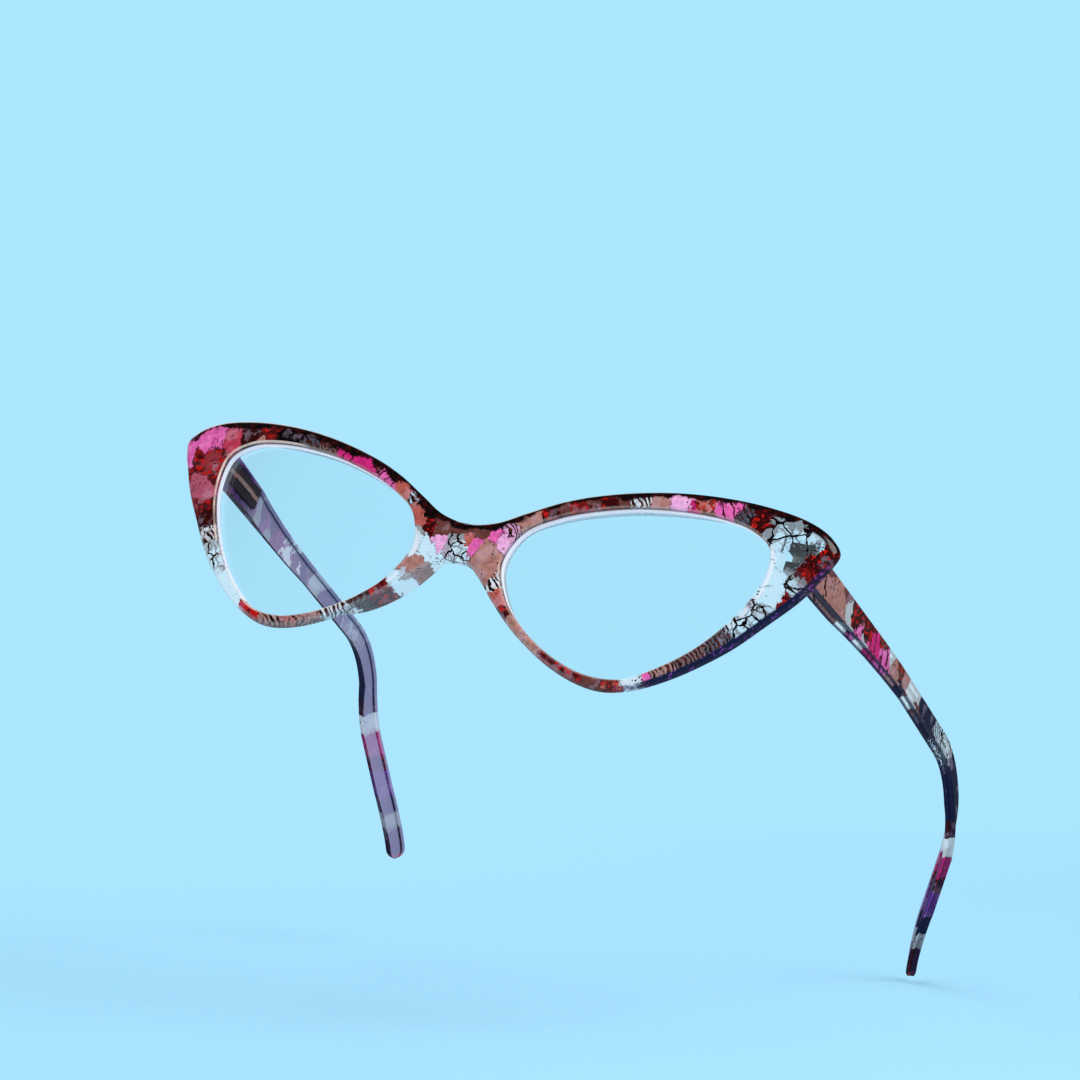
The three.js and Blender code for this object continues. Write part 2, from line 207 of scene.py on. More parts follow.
# Distances in from the opening and from the outer edge at which the rim has points, for a rim of full
# width, and the number of evenly spaced points between them.
INNER_STEPS = np.array([0, 0.06, 0.14, 0.26, 0.42, 0.62])
OUTER_STEPS = np.array([0.98, 0.72, 0.5, 0.32, 0.18, 0.08, 0.02, 0])
MIDDLE_STEPS = 12
FULL_WIDTH = 2.4

CROWN_FALL, CROWN_WIDTH = 0.3, 2.4  # the face falls away towards its edges
FACE_ROUND, BACK_ROUND, BACK_LIP_ROUND = (1.15, 0.8), (0.8, 0.7), (0.6, 0.5)  # width and depth
LIP = 0.3  # chamfer round the openings
LOWER_RIM_THINNER = 0.4
PAD_MARGIN = 1.5  # the back is level with the end pad from this far inside it

# Nose flange: its middle and direction in the front view, half length, depth, and how it thins.
FLANGE_MIDDLE, FLANGE_ALONG = (11.6, -7.5), (0.752, -0.659)
FLANGE_REACH, FLANGE_DEPTH = 10.6, 3.55
FLANGE_TAPER, FLANGE_OUTER_LOSS = 1.35, 0.62

# Values of the wall mark, which tells the material where on the moulding a place is.
FACE, BACK, IN_GROOVE, BEHIND_LENS = 0.0, 1.0, 2.0, 3.0
SIDE_STEPS = [0.2, 0.5, 0.8]
GROOVE = [(2.85, 0.0, BEHIND_LENS), (2.12, 0.5, BEHIND_LENS), (1.4, 0.0, IN_GROOVE)]  # depth, sunk, mark


def full_outline():
    """Outer edge of the whole front, anticlockwise."""
    half = np.array(HALF_OUTLINE)
    mirrored = half[1:-1][::-1] * [-1, 1]
    curve = smooth_closed(np.vstack([half, mirrored]))[::-1]
    return curve - outward_normals(curve) * OUTLINE_INSET


def half_boundary(outline):
    """The wearer's left half of the edge, closed along the symmetry line, and where that line starts."""
    keep = outline[:, 0] > 1e-6
    start = int(np.flatnonzero(keep & ~np.roll(keep, 1))[0])
    right = np.roll(outline, -start, axis=0)[:keep.sum()]
    line = np.stack([np.zeros(LINE_POINTS), np.linspace(BRIDGE_TOP, BRIDGE_BOTTOM, LINE_POINTS)], axis=1)
    last = right[-1][1]
    if abs(last - BRIDGE_TOP) > abs(last - BRIDGE_BOTTOM):
        line = line[::-1]
    return np.vstack([right, line]), len(right)


def ray_hits(starts, directions, boundary):
    """Where each ray first meets the closed boundary: the distance, and the place as a segment number."""
    ends = np.roll(boundary, -1, axis=0)
    span = ends - boundary
    reach = np.empty(len(starts))
    place = np.empty(len(starts))
    for i, (p, d) in enumerate(zip(starts, directions)):
        cross = d[0] * span[:, 1] - d[1] * span[:, 0]
        cross[np.abs(cross) < 1e-9] = 1e-9
        to = boundary - p
        t = (to[:, 0] * span[:, 1] - to[:, 1] * span[:, 0]) / cross
        u = (to[:, 0] * d[1] - to[:, 1] * d[0]) / cross
        t[(u < -1e-6) | (u > 1 + 1e-6) | (t < 0.05)] = 1e9
        k = int(t.argmin())
        reach[i] = t[k]
        place[i] = k + min(max(u[k], 0), 1)
    return reach, place


def rim_rays(inner, outline):
    """Evenly spread rays across the rim: both ends, the directions, and which end on the symmetry line."""
    normals = outward_normals(inner)
    boundary, line_start = half_boundary(outline)
    reach, _ = ray_hits(inner, normals, boundary)
    outer = inner + normals * reach[:, None]
    pace = sum(np.linalg.norm(np.roll(edge, -1, axis=0) - edge, axis=1) for edge in (inner, outer))
    travelled = np.concatenate([[0], np.cumsum(pace)])
    wanted = np.linspace(0, travelled[-1], RAYS, endpoint=False)
    at = np.interp(wanted, travelled, np.arange(len(inner) + 1))
    low = np.floor(at).astype(int) % len(inner)
    high = (low + 1) % len(inner)
    share = (at - np.floor(at))[:, None]
    start = inner[low] * (1 - share) + inner[high] * share
    direction = normals[low] * (1 - share) + normals[high] * share
    reach, place = ray_hits(start, direction, boundary)
    end = start + direction * reach[:, None]
    on_line = place >= line_start - 1
    for corner in ([0, BRIDGE_TOP], [0, BRIDGE_BOTTOM]):
        nearest = int(np.linalg.norm(end - corner, axis=1).argmin())
        end[nearest] = corner
        on_line[nearest] = True
    end[on_line, 0] = 0
    return start, end, direction, on_line


def across_rim(length):
    """Distances from the opening at which the rim has points, closer together at both edges."""
    shrink = min(1.0, length / FULL_WIDTH)
    near = INNER_STEPS * shrink
    far = length - OUTER_STEPS * shrink
    middle = np.linspace(near[-1], far[0], MIDDLE_STEPS + 2)[1:-1]
    return np.concatenate([near, middle, far])


def quarter_round(distance, width, depth):
    """Fall of a rounded edge at a distance in from it."""
    t = np.clip(1 - distance / width, 0, 1)
    return depth * (1 - np.sqrt(1 - t * t))


def nose_flange(points, to_outer, to_inner):
    """Extra depth of the flange moulded on the back of the rim beside the nose."""
    along = (points - FLANGE_MIDDLE) @ np.array(FLANGE_ALONG)
    crest = np.sqrt(np.clip(1 - (along / FLANGE_REACH) ** 2, 0, 1))
    share = to_outer / np.maximum(to_outer + to_inner, 1e-6)
    falling = 1 - FLANGE_OUTER_LOSS * step_between(share, 0.25, 1.0)
    return FLANGE_DEPTH * crest**FLANGE_TAPER * falling


def front_piece(materials):
    """The moulding: one loop round the rim's section on each ray, for one half and mirrored."""
    outline = full_outline()
    opening = smooth_closed(OPENING)
    start, end, direction, on_line = rim_rays(opening, outline)
    lengths = np.linalg.norm(end - start, axis=1)
    shares = np.array([across_rim(length) / length for length in lengths])
    columns = shares.shape[1]
    flat = (start[:, None] + (end - start)[:, None] * shares[..., None]).reshape(-1, 2)

    to_outer, nearest = distance_to(flat, outline)
    to_inner, _ = distance_to(flat, opening)
    outer_column = np.arange(len(flat)) % columns == columns - 1
    to_outer[outer_column & ~np.repeat(on_line, columns)] = 0
    to_inner[np.arange(len(flat)) % columns == 0] = 0
    up = outward_normals(outline, 6)[nearest, 1]

    bend = flat[:, 0] ** 2 / (2 * FRONT_CURVE_RADIUS)
    edge = np.minimum(to_outer, to_inner)
    crown = CROWN_FALL * (1 - step_between(edge, 0, CROWN_WIDTH))
    front = bend + crown + quarter_round(to_outer, *FACE_ROUND) + LIP * np.clip(1 - to_inner / LIP, 0, 1)
    thickness = FRONT_THICKNESS - LOWER_RIM_THINNER * step_between(-flat[:, 1], 4, 12)
    back = bend + thickness + nose_flange(flat, to_outer, to_inner)
    back -= quarter_round(to_outer, *BACK_ROUND) + quarter_round(to_inner, *BACK_LIP_ROUND)
    back = np.where(flat[:, 0] > END_PAD_X - PAD_MARGIN, np.minimum(back, END_PAD_Y), back)

    def grid(values):
        return values.reshape(RAYS, columns, *values.shape[1:])

    flat, front, back, bend, to_outer, to_inner, up = map(
        grid, (flat, front, back, bend, to_outer, to_inner, up))
    unit = direction / np.linalg.norm(direction, axis=1)[:, None]

    loops, marks = [], []
    for i in range(RAYS):
        loop = [(x, y, z) for (x, z), y in zip(flat[i], front[i])]
        mark = [(o, n, u, FACE) for o, n, u in zip(to_outer[i], to_inner[i], up[i])]
        for share in SIDE_STEPS:
            y = front[i, -1] * (1 - share) + back[i, -1] * share
            loop.append((flat[i, -1, 0], y, flat[i, -1, 1]))
            mark.append((0.0, to_inner[i, -1], up[i, -1], BACK))
        loop += [(x, y, z) for (x, z), y in zip(flat[i][::-1], back[i][::-1])]
        mark += [(o, n, u, BACK) for o, n, u in zip(to_outer[i][::-1], to_inner[i][::-1], up[i][::-1])]
        mark[-1] = (*mark[-1][:3], BEHIND_LENS)
        for depth, sunk, where in GROOVE:
            x, z = start[i] + unit[i] * sunk
            loop.append((x, bend[i, 0] + depth, z))
            mark.append((lengths[i], 0.0, up[i, 0], where))
        loops.append(loop)
        marks.append(mark)
    around = len(loops[0])
    vertices = np.array(loops).reshape(-1, 3)
    marks = np.array(marks).reshape(-1, 4)

    wall_columns = range(columns - 1, columns + len(SIDE_STEPS))
    faces = []
    for i in range(RAYS):
        after = (i + 1) % RAYS
        inside = on_line[i] and on_line[after]
        for j in range(around):
            if inside and j in wall_columns:
                continue
            k = (j + 1) % around
            faces.append((i * around + j, i * around + k, after * around + k, after * around + j))
    count = len(vertices)
    mirrored = vertices * [-1, 1, 1]
    both = np.vstack([vertices, mirrored])
    both_faces = faces + [tuple(count + v for v in face[::-1]) for face in faces]
    attributes = {
        key: np.concatenate([marks[:, k], marks[:, k]])
        for k, key in enumerate(("to_outer", "to_inner", "up", "wall"))
    }
    return piece_from("front_moulding", both, both_faces, materials, attributes)


# ------------ lenses

LENS_MIDDLE = np.array([34.0, 0.5])
LENS_RINGS = [(0.02, 0.0), (0.25, 0.0), (0.5, 0.0), (0.72, 0.0), (0.88, 0.0), (0.97, 0.0), (1.0, -0.05)]
LENS_APEX = 0.42  # how far the bevelled edge reaches into the groove


def lens_piece(name, side, materials):
    """A lens of rings round its middle, each at a share of the way out and grown by a length."""
    opening = smooth_closed(OPENING, 14)
    normals = outward_normals(opening, 4)
    rows = []
    for (x, z), normal in zip(opening, normals):
        row = []
        for depth, order in ((LENS_FRONT, 1), (LENS_FRONT + LENS_THICKNESS, -1)):
            for share, grow in LENS_RINGS[::order]:
                p = LENS_MIDDLE + (np.array([x, z]) - LENS_MIDDLE) * share + normal * grow
                row.append((p[0], depth, p[1]))
            if order == 1:
                apex = np.array([x, z]) + normal * LENS_APEX
                row.append((apex[0], LENS_FRONT + LENS_THICKNESS / 2, apex[1]))
        rows.append(row)
    columns = len(rows[0])
    vertices = np.array(rows).reshape(-1, 3)
    vertices[:, 1] += vertices[:, 0] ** 2 / (2 * FRONT_CURVE_RADIUS)
    faces = ring_faces(len(rows), columns)
    edge = {len(LENS_RINGS) - 1, len(LENS_RINGS)}
    slots = [1 if i % (columns - 1) in edge else 0 for i in range(len(faces))]
    for column in (0, columns - 1):
        faces.append(tuple(i * columns + column for i in range(len(rows))))
        slots.append(0)
    vertices[:, 0] *= side
    return piece_from(name, vertices, faces, materials, face_slots=slots)


# ------------ temples

TEMPLE_START = np.array([63.7, 9.9, 18.0])
TEMPLE_LENGTH = 143.0
PATH_STEP = 0.5
TIP_ROUND = 2.4
TEMPLE_CORNER, CORNER_SHARE = 0.75, 0.36  # corner radius, and its largest share of the thickness
CORNER_POINTS, SIDE_PIECES = 8, 6
TEMPLE_CROWN = 0.16
BUTT_GAP = 0.45

# Stations along the outer top edge: the directions it turns outwards and falls, then the section's size.
OUTWARD = [(0, SPLAY), (40, SPLAY), (56, 0.035), (101, 0.035), (114, -0.385), (127, -0.385),
           (139, -0.17), (160, -0.17)]
FALL = [(0, 0.06), (82, 0.06), (104, 0.84), (160, 0.84)]
HEIGHTS = [(0, 7.5), (57, 4.8), (100, 4.8), (143, 4.9)]
THICKNESSES = [(0, 3.6), (19.5, 3.6), (26, 3.0), (36, 2.5), (57, 2.5), (108, 2.8), (160, 2.8)]


def along(stations, s):
    return np.interp(s, [a for a, _ in stations], [b for _, b in stations])


def temple_path():
    """Place, down and inwards directions at each step along the outer top edge."""
    place = TEMPLE_START.copy()
    path = []
    for s in np.arange(0, TEMPLE_LENGTH + PATH_STEP, PATH_STEP):
        out, fall = along(OUTWARD, s), along(FALL, s)
        level = np.array([math.sin(out), math.cos(out), 0])
        upright = np.array([0, 0, 1])
        forward = level * math.cos(fall) - upright * math.sin(fall)
        down = -level * math.sin(fall) - upright * math.cos(fall)
        inwards = np.array([-math.cos(out), math.sin(out), 0])
        path.append((place.copy(), down, inwards))
        place = place + forward * PATH_STEP
    return path


PATH = temple_path()


def on_temple(s, down, inwards=0.0):
    """A place on the wearer's left temple, from its distance along and how far it is down and inwards."""
    i = min(int(s / PATH_STEP), len(PATH) - 2)
    share = s / PATH_STEP - i
    parts = [a * (1 - share) + b * share for a, b in zip(PATH[i], PATH[i + 1])]
    return parts[0] + parts[1] * down + parts[2] * inwards


def section(height, thickness):
    """Rounded outline of the temple's section as (down, inwards), with a slightly crowned outer face."""
    radius = min(TEMPLE_CORNER, thickness * CORNER_SHARE)
    corners = [(radius, radius, math.pi), (radius, thickness - radius, math.pi / 2),
               (height - radius, thickness - radius, 0), (height - radius, radius, -math.pi / 2)]
    points = []
    for down, inwards, start in corners:
        for k in range(CORNER_POINTS):
            angle = start - k * math.pi / (2 * (CORNER_POINTS - 1))
            points.append((down + radius * math.cos(angle), inwards + radius * math.sin(angle)))
    dense = []
    for i, (a, b) in enumerate(zip(points, points[1:] + points[:1])):
        pieces = SIDE_PIECES if (i + 1) % CORNER_POINTS == 0 else 1
        for k in range(pieces):
            dense.append((a[0] + (b[0] - a[0]) * k / pieces, a[1] + (b[1] - a[1]) * k / pieces))
    crowned = []
    for down, inwards in dense:
        middle = 1 - (2 * down / height - 1) ** 2
        crowned.append((down, inwards + TEMPLE_CROWN * (1 - middle) * (1 - inwards / thickness)))
    return np.array(crowned)


def temple_stations():
    body = list(np.arange(0.0, TEMPLE_LENGTH - TIP_ROUND, 1.0))
    tip = [TEMPLE_LENGTH - TIP_ROUND * (1 - math.sin(a)) for a in np.linspace(0, math.pi / 2, 9)]
    return body + tip[1:]


def temple_blank(name, materials):
    rows = []
    for s in temple_stations():
        into = max(0.0, s - (TEMPLE_LENGTH - TIP_ROUND)) / TIP_ROUND
        share = math.sqrt(max(0.002, 1 - into * into))
        height, thickness = along(HEIGHTS, s), along(THICKNESSES, s)
        outline = section(height, thickness)
        centre = np.array([height / 2, thickness / 2])
        outline = centre + (outline - centre) * share
        rows.append([on_temple(s, down, inwards) for down, inwards in outline])
    faces = tube_faces(len(rows), len(rows[0]))
    return piece_from(name, np.array(rows).reshape(-1, 3), faces, materials)


def cutter(low, high, by_hinge=True):
    """Box for cutting, given in the spring cartridge's axes or in the frame's own."""
    work = bmesh.new()
    bmesh.ops.create_cube(work, size=1)
    size = Vector(high) - Vector(low)
    middle = (Vector(high) + Vector(low)) / 2
    place = Matrix.Translation(middle * MM) @ Matrix.Diagonal((*(size * MM), 1))
    if by_hinge:
        place = Matrix.Translation(Vector(HINGE) * MM) @ Matrix.Rotation(-SPLAY, 4, "Z") @ place
    place = Matrix.Translation(DATUM) @ place
    bmesh.ops.transform(work, matrix=place, verts=work.verts)
    return linked("cutter", mesh_of("cutter", work))


def cut_away(piece, cutters):
    for box in cutters:
        change = piece.modifiers.new("cut", "BOOLEAN")
        change.operation = "DIFFERENCE"
        change.solver = "EXACT"
        change.object = box
    bpy.context.view_layer.update()
    graph = bpy.context.evaluated_depsgraph_get()
    mesh = bpy.data.meshes.new_from_object(piece.evaluated_get(graph))
    piece.modifiers.clear()
    piece.data = mesh
    for box in cutters:
        bpy.data.objects.remove(box)


def temple_piece(name, side, materials):
    piece = temple_blank(name, materials)
    front_end = cutter((0, -10, -80), (100, END_PAD_Y + BUTT_GAP, 80), by_hinge=False)
    knuckle_notch = cutter((-20, -20, -20), (1.5, 2.0, 20))
    housing_pocket = cutter((-20, 0, -2.17), (1.77, 17.52, 2.17))
    cut_away(piece, [front_end, knuckle_notch, housing_pocket])
    if side < 0:
        piece.data.transform(Matrix.Diagonal((-1, 1, 1, 1)))
        piece.data.flip_normals()
    smooth_by_angle(piece.data)
    soften_edges(piece, 0.12)
    return piece


def soften_edges(piece, width, degrees=45):
    change = piece.modifiers.new("soft_edges", "BEVEL")
    change.width = width * MM
    change.segments = 2
    change.limit_method = "ANGLE"
    change.angle_limit = math.radians(degrees)


# ------------ flex springs

ROD_OUT = 0.45  # how far the pull rod lies outside the screw's axis
SPRING_START, SPRING_END = 3.0, 15.4  # along the cartridge, from the screw's axis
SPRING_RADIUS, WIRE_RADIUS = 0.62, 0.13
SPRING_TURNS, POINTS_A_TURN, WIRE_SIDES = 9.0, 26, 10
END_PITCH = 0.03  # share of the length that each closed end turn takes


def in_cartridge(u, v, z, side=1):
    """A place in the spring cartridge's axes, out, along and up from the screw, as a place in the frame."""
    x = HINGE[0] + u * math.cos(SPLAY) + v * math.sin(SPLAY)
    y = HINGE[1] - u * math.sin(SPLAY) + v * math.cos(SPLAY)
    return np.array([side * x, y, HINGE[2] + z])


def spring_piece(name, side, materials):
    """Round-wire coil, with its end turns laid close together."""
    closed = 1.0 / SPRING_TURNS
    rows = []
    for t in np.linspace(0, 1, int(SPRING_TURNS * POINTS_A_TURN) + 1):
        angle = t * SPRING_TURNS * 2 * math.pi
        even = np.interp(t, [0, closed, 1 - closed, 1], [0, END_PITCH, 1 - END_PITCH, 1])
        v = SPRING_START + WIRE_RADIUS + even * (SPRING_END - SPRING_START - 2 * WIRE_RADIUS)
        row = []
        for k in range(WIRE_SIDES):
            turn = 2 * math.pi * k / WIRE_SIDES
            reach = SPRING_RADIUS + WIRE_RADIUS * math.cos(turn)
            out, up = ROD_OUT + reach * math.cos(angle), reach * math.sin(angle)
            row.append(in_cartridge(out, v + WIRE_RADIUS * math.sin(turn), up, side))
        rows.append(row)
    faces = tube_faces(len(rows), WIRE_SIDES)
    return piece_from(name, np.array(rows).reshape(-1, 3), faces, materials)


# ------------ node graphs

def srgb(*levels):
    """Linear colour from the usual 0 to 255 values."""
    shares = (level / 255 for level in levels)
    return (*(((v + 0.055) / 1.055) ** 2.4 if v > 0.04 else v / 12.92 for v in shares), 1.0)


class Graph:
    """Node graph of a material or a world. Each call adds a node and returns one of its outputs."""

    def __init__(self, name, kind="materials"):
        self.owner = getattr(bpy.data, kind).new(name)
        self.owner.use_nodes = True
        self.tree = self.owner.node_tree
        self.tree.nodes.clear()

    def node(self, kind, inputs=None, output=0, **settings):
        made = self.tree.nodes.new("ShaderNode" + kind)
        for key, value in settings.items():
            setattr(made, key, value)
        for key, value in (inputs or {}).items():
            if isinstance(value, bpy.types.NodeSocket):
                self.tree.links.new(value, made.inputs[key])
            else:
                made.inputs[key].default_value = value
        return made.outputs[output]

    def math(self, operation, *values):
        return self.node("Math", dict(enumerate(values)), operation=operation)

    def times(self, *factors):
        product = factors[0]
        for factor in factors[1:]:
            product = self.math("MULTIPLY", product, factor)
        return product

    def inverse(self, share):
        return self.math("SUBTRACT", 1.0, share)

    def gap(self, a, b):
        return self.math("ABSOLUTE", self.math("SUBTRACT", a, b))

    def axis(self, vector, number):
        return self.node("SeparateXYZ", {0: vector}, number)

    def vector(self, operation, *values, output=0):
        return self.node("VectorMath", dict(enumerate(values)), output, operation=operation)

    def scaled(self, vector, factor):
        return self.node("VectorMath", {0: vector, "Scale": factor}, operation="SCALE")

    def mix(self, share, a, b):
        return self.node("Mix", {0: share, 6: a, 7: b}, 2, data_type="RGBA")

    def mix_number(self, share, a, b):
        return self.node("Mix", {0: share, 2: a, 3: b}, data_type="FLOAT")

    def rise(self, value, low, high, start=0.0, end=1.0):
        """Smooth change from start, where the value is at low or less, to end at high or more."""
        inputs = {0: value, 1: low, 2: high, 3: start, 4: end}
        return self.node("MapRange", inputs, interpolation_type="SMOOTHSTEP")

    def fall(self, value, low, high):
        return self.rise(value, low, high, 1.0, 0.0)

    def noise(self, place, scale, detail=3.0, roughness=0.55, output=0):
        inputs = {"Vector": place, "Scale": scale, "Detail": detail, "Roughness": roughness}
        return self.node("TexNoise", inputs, output)

    def cells(self, place, scale, feature="F1", output=0):
        return self.node("TexVoronoi", {"Vector": place, "Scale": scale}, output, feature=feature)

    def stripes(self, place, scale, distortion, detail, **settings):
        inputs = {"Vector": place, "Scale": scale, "Distortion": distortion, "Detail": detail}
        return self.node("TexWave", inputs, 1, wave_profile="SIN", **settings)

    def attribute(self, name):
        return self.node("Attribute", output=2, attribute_name=name)

    def millimetres(self):
        from_datum = self.vector("SUBTRACT", self.node("TexCoord", output="Object"), tuple(DATUM))
        return self.scaled(from_datum, 1 / MM)

    def bump(self, height, strength, distance):
        return self.node("Bump", {"Height": height, "Strength": strength, "Distance": distance * MM})

    def blend(self, share, a, b):
        """Mix of two shaders."""
        return self.node("MixShader", {0: share, 1: a, 2: b})

    def finish(self, shader, kind="OutputMaterial"):
        end = self.tree.nodes.new("ShaderNode" + kind)
        self.tree.links.new(shader, end.inputs["Surface"])
        return self.owner


# ------------ printed plastic

PLAIN, REDS, VEINS, COMB, ARCS, CLEAR = 0.0, 1.0, 2.0, 3.0, 4.0, 5.0  # styles of patches

MAROON = srgb(58, 6, 8)
DARK = srgb(10, 3, 5)
BRICK = srgb(124, 22, 20)
BROWN = srgb(112, 62, 56)
BEIGE = srgb(186, 128, 118)
SALMON = srgb(198, 98, 86)
ROSE = srgb(204, 62, 88)
DUSKY = srgb(150, 52, 62)
DUSKY_PINK = srgb(188, 88, 112)
PINK = srgb(244, 104, 182)
PALE_PINK = srgb(252, 176, 228)
MAGENTA = srgb(226, 40, 128)
NAVY = srgb(12, 24, 58)
SLATE = srgb(58, 52, 74)
PURPLE = srgb(128, 62, 158)
WHITE = srgb(246, 250, 255)
ICE = srgb(214, 240, 255)
MAUVE = srgb(160, 150, 184)
RED = srgb(196, 22, 16)
# colour of the painted highlight round the openings
HIGHLIGHT_CREAM = srgb(238, 214, 200)
TIP_RED = srgb(226, 46, 40)
POLISH = (1, 1, 1, 1)
PLASTIC_IOR = 1.49
FAR = 900.0


def nearest_patch(g, place, patches):
    """Colour and style of the nearest patch, and how far inside its border a place is."""
    best, second, colour, style = FAR, FAR, BROWN, PLAIN
    for (x, y, z), size, rgb, kind in patches:
        gap = g.math("SUBTRACT", g.vector("DISTANCE", place, (x, y, z), output=1), size)
        nearer = g.math("LESS_THAN", gap, best)
        second = g.math("MINIMUM", second, g.math("MAXIMUM", gap, best))
        best = g.math("MINIMUM", gap, best)
        colour = g.mix(nearer, colour, rgb)
        style = g.mix_number(nearer, style, kind)
    return colour, style, g.math("SUBTRACT", second, best)


def jagged(g, place, amount):
    """Place shifted by torn-paper noise, so that borders between patches come out ragged."""
    broad = g.vector("SUBTRACT", g.noise(place, 0.35, 4.0, 0.65, output=1), (0.5, 0.5, 0.5))
    chips = g.vector("SUBTRACT", g.cells(place, 1.1, output=1), (0.5, 0.5, 0.5))
    moved = g.vector("ADD", place, g.scaled(broad, amount))
    return g.vector("ADD", moved, g.scaled(chips, amount * 0.22))


def printed(g, place, patches, flatten, tear):
    """The patchwork print: its colour, how clear the plastic is, and the mottle that both share."""
    metric = g.vector("MULTIPLY", jagged(g, place, tear), flatten)
    flat_patches = [(tuple(np.multiply(middle, flatten)), *looks) for middle, *looks in patches]
    colour, style, inside = nearest_patch(g, metric, flat_patches)
    reds, veined, comb, arcs, clear = (
        g.math("COMPARE", style, kind, 0.4) for kind in (REDS, VEINS, COMB, ARCS, CLEAR))

    # Mottle, darker on solid patches, then broad pale stretches.
    mottle = g.noise(place, 1.1, 4.0, 0.6)
    broad = g.noise(place, 0.28, 3.0)
    shade = g.mix_number(clear, g.mix_number(veined, 0.5, 0.1), 0.0)
    shade = g.times(shade, g.rise(mottle, 0.4, 0.68))
    colour = g.mix(shade, colour, g.mix(0.7, colour, DARK))
    pale = g.mix(0.5, colour, g.mix(0.5, WHITE, PALE_PINK))
    colour = g.mix(g.rise(broad, 0.52, 0.62, 0.0, 0.3), colour, pale)

    # Reds: maroon blots with bright red in them.
    blots = g.times(reds, g.rise(g.noise(place, 0.5, 5.0, 0.6), 0.48, 0.54), 0.85)
    colour = g.mix(blots, colour, MAROON)
    colour = g.mix(g.times(reds, g.rise(mottle, 0.55, 0.59)), colour, RED)

    # Veins, with twigs between them here and there.
    wavy = g.vector("ADD", place, g.scaled(g.noise(place, 0.5, 2.0, output=1), 1.6))
    veins = g.fall(g.cells(wavy, 0.3, "DISTANCE_TO_EDGE"), 0.035, 0.065)
    twigs = g.fall(g.cells(wavy, 0.8, "DISTANCE_TO_EDGE"), 0.02, 0.045)
    twigs = g.times(twigs, g.rise(broad, 0.5, 0.56))
    lines = g.times(veined, g.math("MAXIMUM", veins, twigs))
    colour = g.mix(lines, colour, DARK)

    # Comb: bent, broken stripes.
    bent = g.vector("ADD", place, g.scaled(g.noise(place, 0.22, 3.0, output=1), 3.0))
    bands = g.stripes(bent, 0.5, 4.0, 3.0, wave_type="BANDS", bands_direction="DIAGONAL")
    teeth = g.times(g.rise(bands, 0.4, 0.6), g.rise(g.noise(place, 0.4, 3.0), 0.38, 0.46))
    combed = g.times(comb, g.math("MAXIMUM", teeth, twigs))
    comb_dark = g.mix(g.rise(mottle, 0.4, 0.6), DARK, g.mix(0.5, MAROON, BROWN))
    colour = g.mix(combed, colour, comb_dark)

    # Arcs: wide thin rings.
    rings = g.stripes(wavy, 0.16, 4.0, 1.0, wave_type="RINGS", rings_direction="SPHERICAL")
    colour = g.mix(g.times(arcs, g.rise(rings, 0.88, 0.95)), colour, MAROON)

    # Gathered specks everywhere, and a broken line where patches meet.
    specks = g.fall(g.cells(place, 1.25), 0.2, 0.26)
    specks = g.times(specks, g.rise(g.noise(place, 0.16, 1.0), 0.56, 0.6))
    colour = g.mix(specks, colour, DARK)
    border = g.rise(inside, 0.1, 0.32, 0.75, 0.0)
    border = g.times(border, g.rise(g.noise(place, 0.5, 2.0), 0.45, 0.55))
    colour = g.mix(border, colour, MAROON)

    amount = g.mix_number(comb, g.math("MAXIMUM", veined, clear), 0.3)
    return colour, g.times(amount, *(g.inverse(mark) for mark in (lines, specks, border, combed))), mottle


def glossy_plastic(g, colour, clear, place, milk_and_glow):
    """Polished plastic, opaque where it is printed and see-through, with a light haze, where it is clear.
    The haze mostly glows, as painted light.
    """
    height = g.math("ADD", g.noise(place, 0.22, 2.0), g.times(g.noise(place, 3.0, 2.0), 0.02))
    normal = g.bump(height, 0.22, 0.35)
    roughness = g.rise(g.noise(place, 0.7, 4.0), 0.3, 0.7, 0.08, 0.16)
    solid = g.node("BsdfPrincipled", {
        "Base Color": colour, "Roughness": roughness, "Normal": normal, "IOR": PLASTIC_IOR,
        "Coat Weight": 0.25, "Coat Roughness": 0.02, "Coat Normal": normal,
    })
    through = g.node("BsdfTransparent", {"Color": g.mix(0.97, colour, POLISH)})
    lit = g.node("BsdfDiffuse", {"Color": g.mix(0.5, colour, WHITE)})
    # Painted light: the haze is mostly emission, standing in for the bright light that comes through the
    # clear plastic.
    glow = g.node("Emission", {"Color": g.mix(0.75, colour, ICE)})
    haze = g.blend(0.75, lit, glow)
    shine = g.node("BsdfGlossy", {"Color": POLISH, "Roughness": 0.05, "Normal": normal})
    outside = g.inverse(g.node("NewGeometry", output="Backfacing"))
    fresnel = g.times(outside, g.node("Fresnel", {"IOR": PLASTIC_IOR, "Normal": normal}))
    window = g.blend(fresnel, g.blend(milk_and_glow, through, haze), shine)
    return g.blend(g.times(clear, 0.96), solid, window)


